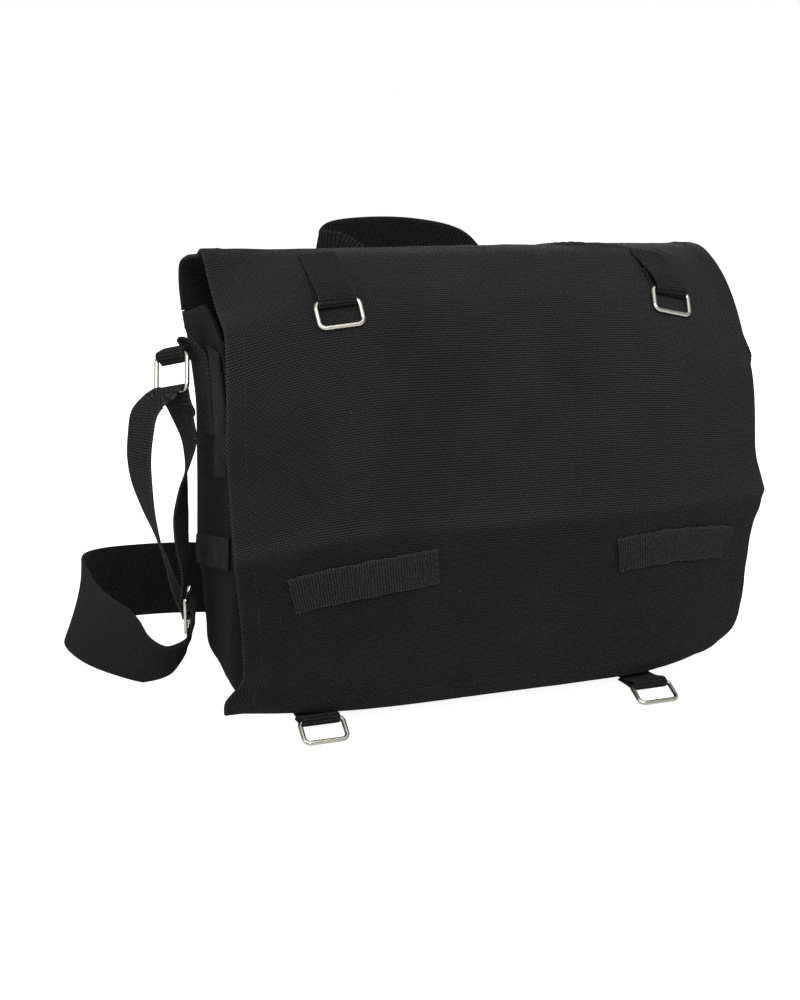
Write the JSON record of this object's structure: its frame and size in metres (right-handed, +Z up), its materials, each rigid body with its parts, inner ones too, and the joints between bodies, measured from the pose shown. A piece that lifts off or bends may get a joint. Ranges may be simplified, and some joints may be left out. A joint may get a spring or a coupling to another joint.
{
  "type": "shoulder bag",
  "caption": "Black canvas shoulder bag with a full-width flap, gusseted sides, wire rings on webbing tabs, a carry handle and a long shoulder strap laid round the side and back.",
  "frame": {"origin": "centre of the base, on the surface the bag stands on", "axes": "+X to the right seen from the front, -Y out of the front flap, +Z up"},
  "size_m": [0.5051, 0.3225, 0.3205],
  "materials": {
    "canvas": "matt black cotton canvas with a visible plain weave",
    "webbing": "black ribbed cotton webbing",
    "plated_wire": "bright plating with a slight warm tint"
  },
  "bodies": {
    "root": {"gusset": "canvas", "front_panel": "canvas", "back_panel": "canvas", "flap": "canvas", "top_tab_left": "webbing", "top_ring_left": "plated_wire", "top_tab_right": "webbing", "top_ring_right": "plated_wire", "flap_loop_left": "webbing", "flap_loop_right": "webbing", "carry_handle": "webbing", "bottom_tab_left": "webbing", "bottom_ring_left": "plated_wire", "bottom_tab_right": "webbing", "bottom_ring_right": "plated_wire", "strap_tab_left": "webbing", "strap_ring_left": "plated_wire", "strap_web_left": "webbing", "strap_slider_left": "plated_wire", "side_webbing_left": "webbing", "side_band_left": "webbing", "strap_tab_right": "webbing", "strap_ring_right": "plated_wire", "strap_web_right": "webbing", "strap_slider_right": "plated_wire", "side_webbing_right": "webbing", "side_band_right": "webbing", "strap_wide": "webbing"}
  },
  "joints": []
}
